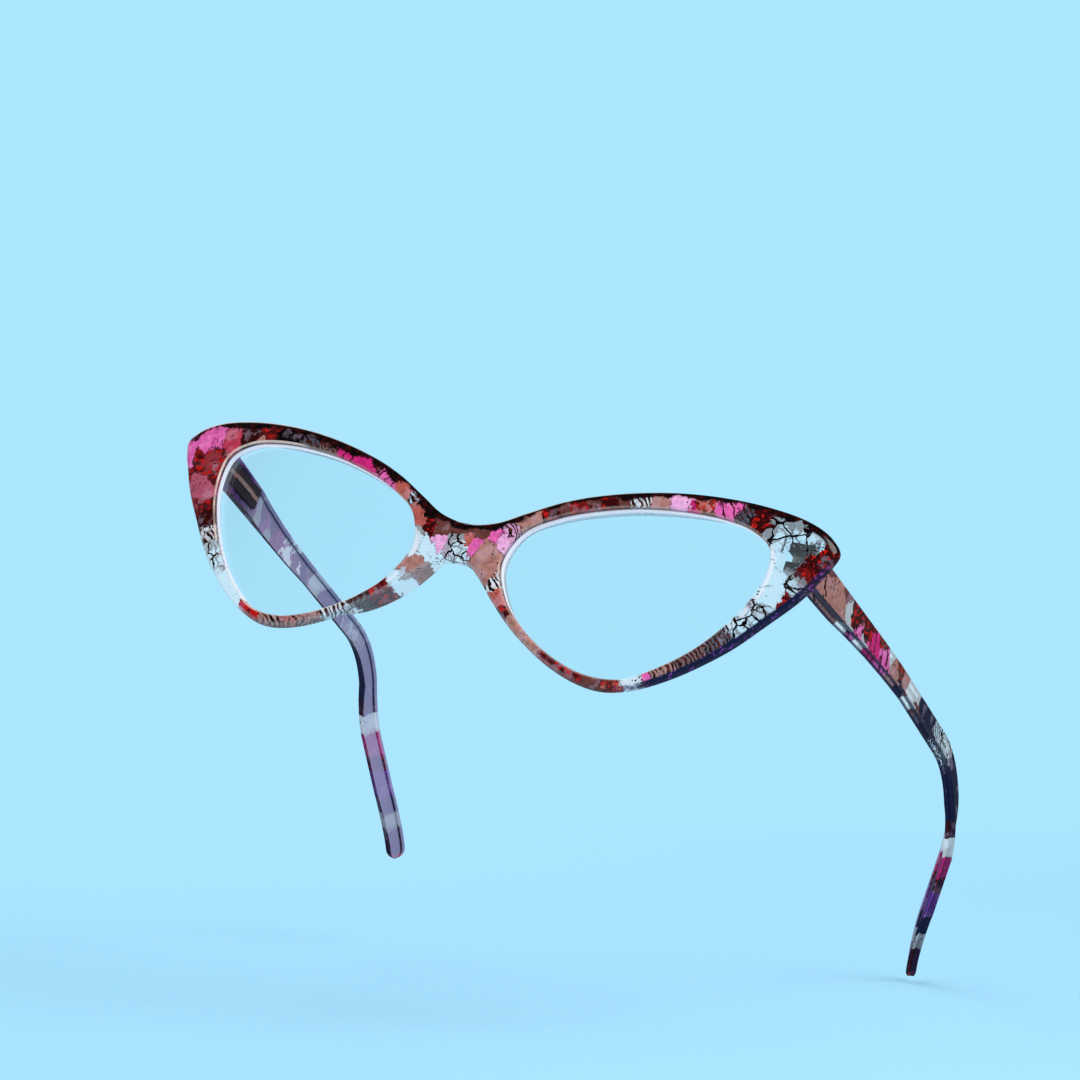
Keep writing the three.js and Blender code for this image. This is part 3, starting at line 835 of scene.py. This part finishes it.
# Patches on the front: place to the left and up, size, colour, style.
FRONT_PATCHES = [
    # wearer's right half, from the wing along the top to the bridge
    (-63.5, 17.2, 2.6, PINK, PLAIN), (-67.2, 12.6, 1.2, PINK, PLAIN), (-61.0, 12.2, 1.6, DUSKY, REDS),
    (-64.8, 13.4, 0.8, BRICK, REDS), (-57.8, 17.6, 1.2, ROSE, PLAIN), (-54.0, 19.0, 1.6, MAROON, PLAIN),
    (-49.5, 19.2, 1.0, BRICK, REDS), (-44.5, 19.4, 1.8, DARK, PLAIN), (-50.5, 17.6, 0.2, BEIGE, PLAIN),
    (-38.5, 18.8, 1.4, SLATE, COMB), (-34.5, 17.3, 1.2, BROWN, COMB), (-33.5, 19.2, 0.6, DARK, PLAIN),
    (-30.0, 16.7, 0.7, MAGENTA, ARCS), (-28.5, 17.6, 0.5, BRICK, REDS),
    (-25.0, 14.6, 1.3, MAGENTA, PLAIN), (-22.5, 15.6, 0.6, MAROON, REDS), (-19.2, 12.2, 1.3, PINK, ARCS),
    (-18.0, 13.8, 0.4, MAROON, REDS), (-14.6, 10.4, 1.2, SALMON, PLAIN), (-12.2, 9.6, 0.9, ICE, COMB),
    (-10.2, 6.4, 1.5, SALMON, PLAIN), (-7.8, 7.2, 0.7, DARK, PLAIN), (-6.6, 4.4, 0.5, MAROON, REDS),
    (-9.0, 1.4, 1.7, WHITE, CLEAR), (-4.0, 4.6, 1.0, BROWN, PLAIN), (-3.6, 2.2, 0.8, PALE_PINK, PLAIN),
    (-5.8, 0.0, 1.0, WHITE, CLEAR),
    # its lower side, from the wing round under the lens to the nose
    (-66.8, 7.5, 1.2, BRICK, REDS), (-63.4, 5.6, 1.5, DUSKY_PINK, PLAIN), (-62.0, 0.8, 1.6, DUSKY, REDS),
    (-59.6, -1.8, 1.2, MAROON, PLAIN), (-57.0, -5.0, 1.0, WHITE, COMB), (-53.4, -8.4, 1.8, WHITE, VEINS),
    (-48.8, -12.4, 2.0, WHITE, CLEAR), (-44.2, -15.8, 1.4, WHITE, CLEAR), (-40.6, -17.4, 0.9, ROSE, REDS),
    (-38.0, -17.9, 0.7, RED, REDS), (-34.6, -18.4, 1.2, BEIGE, COMB), (-30.0, -18.2, 1.2, SALMON, COMB),
    (-25.6, -16.6, 1.2, BEIGE, COMB), (-20.8, -14.2, 1.4, WHITE, COMB), (-17.6, -14.2, 0.8, WHITE, VEINS),
    (-16.6, -11.2, 0.9, MAROON, COMB), (-12.8, -9.6, 1.2, BRICK, REDS), (-9.6, -6.4, 1.2, ICE, CLEAR),
    (-10.6, -3.4, 0.8, BEIGE, PLAIN), (-7.2, -3.2, 0.7, BEIGE, PLAIN),
    # bridge and the wearer's left nose side
    (0.0, 5.4, 0.8, BROWN, PLAIN), (-0.6, 1.6, 1.7, WHITE, VEINS), (1.8, 3.4, 0.4, SALMON, PLAIN),
    (3.4, 2.8, 0.6, PINK, PLAIN), (4.0, 5.2, 1.2, BROWN, PLAIN), (6.4, 4.8, 0.6, PINK, PLAIN),
    (8.8, 7.6, 0.9, PALE_PINK, COMB), (6.6, 1.4, 1.3, BEIGE, PLAIN), (8.4, 3.6, 0.5, PALE_PINK, PLAIN),
    (7.0, -2.4, 1.4, BEIGE, PLAIN), (9.4, -3.8, 0.7, WHITE, COMB), (11.2, -7.2, 1.0, SALMON, PLAIN),
    (13.0, -9.4, 0.9, MAROON, REDS), (16.0, -11.6, 1.3, BEIGE, PLAIN), (20.0, -14.0, 1.3, BEIGE, PLAIN),
    (24.6, -16.4, 1.2, BRICK, REDS), (29.0, -18.0, 1.4, BRICK, REDS), (33.6, -18.6, 1.2, BROWN, PLAIN),
    (37.4, -18.0, 1.0, SALMON, REDS), (40.8, -16.4, 1.2, WHITE, CLEAR), (42.6, -15.4, 0.4, PINK, PLAIN),
    (45.6, -13.4, 1.4, BEIGE, COMB), (49.4, -9.8, 1.5, BROWN, COMB), (53.2, -5.8, 1.4, SLATE, COMB),
    (56.8, -1.4, 1.6, ICE, VEINS), (59.6, 1.6, 1.0, BROWN, VEINS), (60.4, 5.2, 1.6, ICE, CLEAR),
    # wearer's left wing and top
    (59.4, 9.0, 1.9, ICE, CLEAR), (60.6, 13.2, 2.2, ICE, CLEAR), (58.6, 17.2, 1.9, ICE, VEINS),
    (62.6, 16.6, 1.8, ICE, VEINS), (65.2, 17.0, 0.6, ICE, CLEAR), (67.0, 17.8, 0.6, BRICK, REDS),
    (67.8, 15.2, 1.1, MAROON, REDS), (66.0, 12.8, 1.1, MAROON, REDS), (65.4, 10.2, 0.9, BRICK, REDS),
    (63.8, 7.6, 1.0, BROWN, VEINS), (62.2, 4.6, 0.6, BRICK, REDS), (54.6, 18.6, 1.2, MAROON, REDS),
    (51.4, 18.2, 0.7, SLATE, COMB), (48.2, 18.8, 1.2, PINK, ARCS), (44.2, 18.6, 1.3, SALMON, REDS),
    (42.0, 17.9, 0.4, MAGENTA, PLAIN), (39.2, 18.3, 1.3, PALE_PINK, PLAIN),
    # the brown patches along the top from here to the nose are partly print, partly a painted reflection
    # sheen
    (35.4, 17.8, 1.0, BEIGE, PLAIN), (32.0, 17.9, 0.9, WHITE, COMB), (27.6, 17.8, 1.2, BROWN, PLAIN),
    (27.0, 15.6, 0.8, MAROON, REDS), (22.0, 15.8, 1.3, BROWN, PLAIN), (21.4, 13.2, 0.9, BRICK, REDS),
    (16.6, 13.0, 1.3, BROWN, PLAIN), (16.4, 11.2, 0.7, MAROON, REDS), (11.8, 9.6, 1.2, BEIGE, PLAIN),
]


def front_material():
    g = Graph("front_print")
    place = g.millimetres()
    patches = [((x, 0, z), size, rgb, kind) for x, z, size, rgb, kind in FRONT_PATCHES]
    colour, clear, mottle = printed(g, place, patches, (1.0, 0.12, 1.0), 3.4)
    to_outer, to_inner = g.attribute("to_outer"), g.attribute("to_inner")
    up, wall = g.attribute("up"), g.attribute("wall")
    x, height = g.axis(place, 0), g.axis(place, 2)

    # Dark band along the top edge.
    ragged = g.math("ADD", to_outer, g.rise(g.noise(place, 0.25, 4.0), 0.3, 0.7, -0.9, 0.9))
    top = g.times(g.fall(ragged, 1.0, 1.7), g.rise(up, 0.2, 0.5))
    colour = g.mix(top, colour, g.mix(g.rise(mottle, 0.5, 0.62), DARK, MAROON))

    # Lower edge: navy with purple under the wearer's left wing; on the wearer's right, whitened as a painted
    # highlight and made partly see-through.
    low = g.times(g.fall(up, -0.55, -0.25), g.fall(to_outer, 0.35, 0.7))
    left_low = g.times(low, g.rise(g.math("ADD", x, g.times(mottle, 14.0)), 44.0, 50.0))
    colour = g.mix(left_low, colour, g.mix(g.rise(mottle, 0.58, 0.64), NAVY, PURPLE))
    right_low_lit_and_clear = g.times(
        low, g.rise(x, -60.0, -52.0, 0.0, 0.8), g.rise(x, -44.0, -38.0, 1.0, 0.25), g.fall(x, 26.0, 34.0))
    colour = g.mix(right_low_lit_and_clear, colour, g.mix(0.45, colour, WHITE))
    clear = g.times(clear, g.inverse(g.math("MAXIMUM", top, left_low)))
    clear = g.math("MAXIMUM", clear, g.times(right_low_lit_and_clear, 0.5))

    # Painted highlight: a cream line round the openings, on the face only, strongest on the wearer's right.
    line = g.times(
        g.fall(to_inner, 0.25, 0.4), g.fall(wall, 0.0, 0.5),
        g.rise(g.noise(place, 0.12, 2.0), 0.38, 0.5, 0.3, 0.9), g.rise(x, -44.0, -30.0, 1.0, 0.25))
    colour = g.mix(line, colour, HIGHLIGHT_CREAM)

    # Inside the groove, behind the lens, and the back.
    inner_wall = g.times(
        g.rise(wall, 1.2, 1.8), g.fall(wall, 2.1, 2.4),
        g.rise(g.noise(place, 0.1, 2.0), 0.4, 0.55, 0.35, 0.95), g.inverse(clear))
    colour = g.mix(inner_wall, colour, g.mix(g.rise(g.noise(place, 0.2, 3.0), 0.4, 0.55), BROWN, MAROON))
    colour = g.mix(g.rise(wall, 2.3, 2.6), colour, WHITE)
    behind = g.times(g.rise(wall, 0.2, 0.8), g.fall(wall, 1.1, 1.5), g.rise(to_outer, 0.5, 1.5, 0.0, 0.15))
    colour = g.mix(behind, colour, MAUVE)

    # The plastic is clearest round the hinge leaf's legs.
    by_leaf = g.times(
        g.fall(g.gap(height, float(HINGE[2])), 3.0, 3.6),
        g.rise(g.math("ABSOLUTE", x), END_PAD_X, END_PAD_X + 0.6))
    return g.finish(glossy_plastic(g, colour, clear, place, g.mix_number(by_leaf, 0.3, 0.02)))


# Patches along the temple: distance along, depth below the top edge, size, colour, style.
TEMPLE_PATCHES = [
    (9.5, 4.2, 3.2, BEIGE, ARCS), (10.0, 0.4, 1.4, BROWN, PLAIN), (4.0, 1.0, 1.4, BROWN, PLAIN),
    (17.6, 3.4, 2.6, BEIGE, PLAIN), (20.0, 0.4, 1.4, BROWN, PLAIN), (22.0, 2.6, 0.9, WHITE, CLEAR),
    (23.4, 4.6, 0.6, WHITE, CLEAR), (26.4, 2.0, 1.9, MAROON, REDS), (28.6, 4.2, 1.2, PINK, ARCS),
    (30.4, 5.4, 0.7, WHITE, CLEAR), (32.8, 1.4, 1.6, MAROON, REDS), (37.0, 3.6, 2.2, MAGENTA, ARCS),
    (42.0, 3.8, 2.2, PINK, ARCS), (40.6, 0.6, 1.3, BROWN, REDS), (46.2, 1.0, 0.9, WHITE, CLEAR),
    (48.4, 2.8, 1.8, BEIGE, PLAIN), (51.4, 0.6, 1.2, BROWN, REDS), (53.0, 4.4, 1.3, NAVY, PLAIN),
    (55.0, 2.0, 1.3, BEIGE, PLAIN), (59.4, 3.0, 2.1, WHITE, CLEAR), (62.4, 0.8, 1.0, WHITE, CLEAR),
    (64.0, 3.8, 0.8, BROWN, PLAIN), (70.6, 2.6, 4.6, NAVY, PLAIN), (78.0, 2.0, 1.9, ICE, COMB),
    (83.0, 2.8, 2.4, ICE, VEINS), (88.0, 2.0, 1.7, WHITE, COMB), (94.0, 2.6, 4.0, NAVY, PLAIN),
    (101.6, 2.6, 3.2, NAVY, PLAIN), (107.0, 2.5, 1.7, MAROON, PLAIN), (111.2, 2.5, 1.8, WHITE, CLEAR),
    (116.0, 2.2, 2.0, MAGENTA, PLAIN), (120.6, 2.6, 1.4, MAROON, REDS), (125.0, 2.4, 2.6, PURPLE, PLAIN),
    (130.2, 2.4, 1.7, NAVY, PLAIN), (133.8, 2.4, 1.6, SLATE, CLEAR), (138.4, 2.4, 2.1, MAROON, PLAIN),
    (142.8, 3.2, 0.3, TIP_RED, PLAIN),
]
PALE_PATCH_Y = 54.0  # middle of the pale patch on the temples' inner faces


def temple_material(side):
    g = Graph("temple_print_left" if side > 0 else "temple_print_right")
    place = g.millimetres()
    patches = []
    for s, down, size, rgb, kind in TEMPLE_PATCHES:
        x, y, z = on_temple(s, down, 1.0)
        patches.append(((side * x, y, z), size, rgb, kind))
    colour, clear, mottle = printed(g, place, patches, (0.25, 1.0, 1.0), 2.2)
    normal = g.node("TexCoord", output="Normal")
    up, inwards = g.axis(normal, 2), g.times(g.axis(normal, 0), -float(side))
    y = g.axis(place, 1)

    # Darker top, and a purple then navy underside.
    top = g.rise(up, 0.45, 0.8, 0.0, 0.8)
    colour = g.mix(top, colour, g.mix(0.55, colour, MAROON))
    under = g.rise(up, -0.8, -0.45, 0.92, 0.0)
    under_share = g.rise(g.math("ADD", y, g.times(mottle, 8.0)), 14.0, 24.0)
    colour = g.mix(under, colour, g.mix(under_share, PURPLE, NAVY))

    # Inner face: dark round the spring housing, mauve beyond it, with one pale patch.
    inner = g.rise(inwards, 0.3, 0.7)
    boss = g.fall(y, 22.0, 34.0)
    inner_tint = g.mix(boss, MAUVE, g.mix(g.rise(mottle, 0.45, 0.6), NAVY, PURPLE))
    colour = g.mix(g.times(inner, g.mix_number(boss, 0.8, 0.9)), colour, inner_tint)
    ragged = g.math("ADD", y, g.rise(g.noise(place, 0.4, 4.0), 0.3, 0.7, -4.0, 4.0))
    pale = g.fall(g.gap(ragged, PALE_PATCH_Y), 3.0, 3.4)
    colour = g.mix(g.times(pale, inner, 0.7), colour, WHITE)

    clear = g.times(clear, g.inverse(g.math("MAXIMUM", top, under)), g.inverse(g.times(inner, 0.5)))
    return g.finish(glossy_plastic(g, colour, clear, place, 0.55))


# ------------ lenses and metal

def lens_material():
    g = Graph("lens_clear")
    through = g.node("BsdfTransparent", {"Color": (0.985, 0.995, 1.0, 1)})
    smudge = g.rise(g.noise(g.millimetres(), 0.05, 2.0), 0.4, 0.7, 0.01, 0.03)
    shine = g.node("BsdfGlossy", {"Color": POLISH, "Roughness": smudge})
    fresnel = g.times(g.node("Fresnel", {"IOR": 1.35}), 0.5)
    return g.finish(g.blend(fresnel, through, shine))


def glowing_lens_edge_material():
    g = Graph("lens_edge")
    grain = g.noise(g.millimetres(), 4.0, 2.0)
    colour = g.mix(g.rise(grain, 0.3, 0.7), srgb(236, 240, 252), srgb(250, 248, 255))
    # The frosted edge glows a little: emission as painted light for its bright band.
    return g.finish(g.node("BsdfPrincipled", {
        "Base Color": colour, "Roughness": 0.35, "Normal": g.bump(grain, 0.2, 0.05),
        "Emission Color": colour, "Emission Strength": 0.25,
    }))


def metal_material(name, colour, roughness, stretch, paint=None):
    """Satin metal with a drawn grain. The paint function may change the colour from place to place."""
    g = Graph(name)
    place = g.millimetres()
    grain = g.noise(g.vector("MULTIPLY", place, stretch), 1.0, 4.0, 0.6)
    wear = g.noise(place, 0.8, 3.0)
    tone = g.mix(g.rise(grain, 0.35, 0.7, 0.0, 0.4), colour, g.mix(0.6, colour, (0.05, 0.05, 0.05, 1)))
    tone = g.mix(g.rise(wear, 0.5, 0.8, 0.0, 0.3), tone, (0.9, 0.88, 0.86, 1))
    if paint:
        tone = paint(g, place, tone)
    rough = g.rise(grain, 0.3, 0.7, roughness, roughness + 0.15)
    return g.finish(g.node("BsdfPrincipled", {
        "Base Color": tone, "Metallic": 0.7, "Roughness": rough, "Normal": g.bump(grain, 0.25, 0.03),
    }))


def dark_in_plastic(g, place, tone):
    """The leaf is coloured dark where it is moulded into the wing."""
    return g.mix(g.rise(g.axis(place, 1), 9.5, 10.2, 0.98, 0.0), tone, DARK)


def housing_painted_reflection(g, place, tone):
    """The spring housing is painted dark navy as a painted reflection, but for the rib along the middle of
    its open side, whose pink-gold stays bright as a painted highlight.
    """
    rib = g.fall(g.gap(g.axis(place, 2), float(HINGE[2])), 0.38, 0.5)
    return g.mix(rib, g.mix(0.9, tone, NAVY), tone)


# ------------ assembly

def install(piece, node, body):
    """Shows a piece in place of a CAD node, riding on its body."""
    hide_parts(node)
    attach(piece, body)


install(front_piece([front_material()]), "front_frame", "front")

lens_looks = [lens_material(), glowing_lens_edge_material()]
for label, side in SIDES:
    install(lens_piece(f"clear_lens_{label}", side, lens_looks), f"lens_{label}", "front")
    arm = temple_piece(f"temple_arm_{label}", side, [temple_material(side)])
    install(arm, f"temple_{label}", f"temple_{label}")

spring_wire = metal_material("spring_wire", srgb(200, 200, 204), 0.22, (12, 3, 12))
for label, side in SIDES:
    coil = spring_piece(f"coil_spring_{label}", side, [spring_wire])
    install(coil, f"flex_spring_{label}", f"knuckle_{label}")
    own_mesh(coil)

METALS = {
    "front_hinge": metal_material("hinge_metal", srgb(176, 168, 164), 0.28, (3, 3, 14), dark_in_plastic),
    "sliding_knuckle": metal_material("knuckle_metal", srgb(182, 174, 168), 0.26, (3, 12, 3)),
    "hinge_screw": metal_material("screw_metal", srgb(196, 194, 192), 0.2, (9, 9, 2)),
    "spring_stop": metal_material("stop_metal", srgb(188, 186, 182), 0.25, (3, 12, 3)),
    "spring_housing": metal_material("housing_metal", srgb(236, 190, 176), 0.3, (3, 14, 14), housing_painted_reflection),
}
for name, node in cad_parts.items():
    for start_of_name, material in METALS.items():
        if name.startswith(start_of_name):
            node.data.materials.clear()
            node.data.materials.append(material)
            soften_edges(node, 0.07, 50)


# ------------ stage, camera and light

CAMERA_AT = Vector((286.7, -524.9, -181.3))
CAMERA_RIGHT = Vector((0.8857, 0.3472, 0.3082))
CAMERA_DOWN = Vector((0.1565, 0.4019, -0.9022))
CAMERA_AHEAD = Vector((-0.4371, 0.8473, 0.3016))
CAMERA_LENS, CAMERA_SENSOR = 113.3, 36.0
PALE_BLUE = srgb(172, 230, 255)
FLOOR_BLUE = srgb(166, 224, 252)
FLOOR_GAP = 0.4
FLOOR_REACH = 1.6  # metres, as are the distances at which it fades


def turned(right, up, back):
    return Matrix((right, up, back)).transposed().to_4x4()


def make_camera():
    data = bpy.data.cameras.new("photo_camera")
    data.lens = CAMERA_LENS
    data.sensor_width = CAMERA_SENSOR
    data.clip_start, data.clip_end = 0.01, 20.0
    camera = linked("photo_camera", data)
    facing = turned(CAMERA_RIGHT, -CAMERA_DOWN, -CAMERA_AHEAD)
    camera.matrix_world = Matrix.Translation(CAMERA_AT * MM + DATUM) @ facing
    bpy.context.scene.camera = camera


def make_floor():
    """Plain pale floor under the temple tips, level in the camera's view and seen from above only."""
    up = -CAMERA_DOWN
    lowest = min((Vector(on_temple(s, along(HEIGHTS, s), 1.0)) @ up) for s in (138.0, 141.0, 143.0))
    centre = Vector((0, 70, -20))
    centre += up * (lowest - FLOOR_GAP - centre @ up)
    middle = centre * MM + DATUM
    work = bmesh.new()
    bmesh.ops.create_grid(work, x_segments=24, y_segments=24, size=FLOOR_REACH)
    place = Matrix.Translation(middle) @ turned(CAMERA_RIGHT, CAMERA_AHEAD, up)
    bmesh.ops.transform(work, matrix=place, verts=work.verts)
    floor = linked("floor", mesh_of("floor", work))
    floor.data.materials.append(floor_material(middle))
    floor.visible_glossy = False


def floor_material(middle):
    """Pale matt cloth that fades out away from its middle."""
    g = Graph("floor")
    spot = g.node("TexCoord", output="Object")
    away = g.vector("DISTANCE", spot, tuple(middle), output=1)
    tone = g.mix(g.rise(g.noise(spot, 900.0, 3.0), 0.3, 0.7, 0.0, 0.06), FLOOR_BLUE, WHITE)
    cloth = g.node("BsdfDiffuse", {"Color": tone})
    hidden = g.math("MAXIMUM", g.node("NewGeometry", output="Backfacing"), g.rise(away, 0.12, 0.5))
    return g.finish(g.blend(hidden, cloth, g.node("BsdfTransparent")))


def make_world():
    """Pale blue for the camera, white light on matt surfaces, and dim in reflections, least so below."""
    g = Graph("studio", "worlds")
    height = g.vector("DOT_PRODUCT", g.node("TexCoord", output="Generated"), tuple(-CAMERA_DOWN), output=1)
    seen = g.node("Background", {0: PALE_BLUE, 1: 1.0})
    light = g.node("Background", {0: (0.94, 0.97, 1.0, 1), 1: 0.72})
    mirrored = g.node("Background", {0: (0.9, 0.95, 1.0, 1), 1: g.rise(height, -0.8, 0.5, 0.13, 0.03)})
    lit = g.blend(g.node("LightPath", output="Is Glossy Ray"), light, mirrored)
    both = g.blend(g.node("LightPath", output="Is Camera Ray"), lit, seen)
    bpy.context.scene.world = g.finish(both, "OutputWorld")


def area_light(name, right, up, ahead, size, power, mirrored=True):
    """Soft light placed from the glasses' middle along the camera's own directions, in millimetres."""
    middle = Vector((0, 40, 0))
    place = middle + CAMERA_RIGHT * right - CAMERA_DOWN * up + CAMERA_AHEAD * ahead
    data = bpy.data.lights.new(name, "AREA")
    data.shape = "DISK"
    data.size = size * MM
    data.energy = power
    lamp = linked(name, data)
    lamp.location = place * MM + DATUM
    lamp.rotation_mode = "QUATERNION"
    lamp.rotation_quaternion = (middle - place).to_track_quat("-Z", "Y")
    lamp.visible_glossy = mirrored


make_camera()
make_floor()
make_world()
area_light("key", right=350, up=420, ahead=-350, size=420, power=1.6)
area_light("fill", right=-500, up=150, ahead=-450, size=500, power=0.7, mirrored=False)
area_light("rim", right=-150, up=350, ahead=500, size=400, power=0.8)
bpy.context.scene.view_settings.view_transform = "Standard"
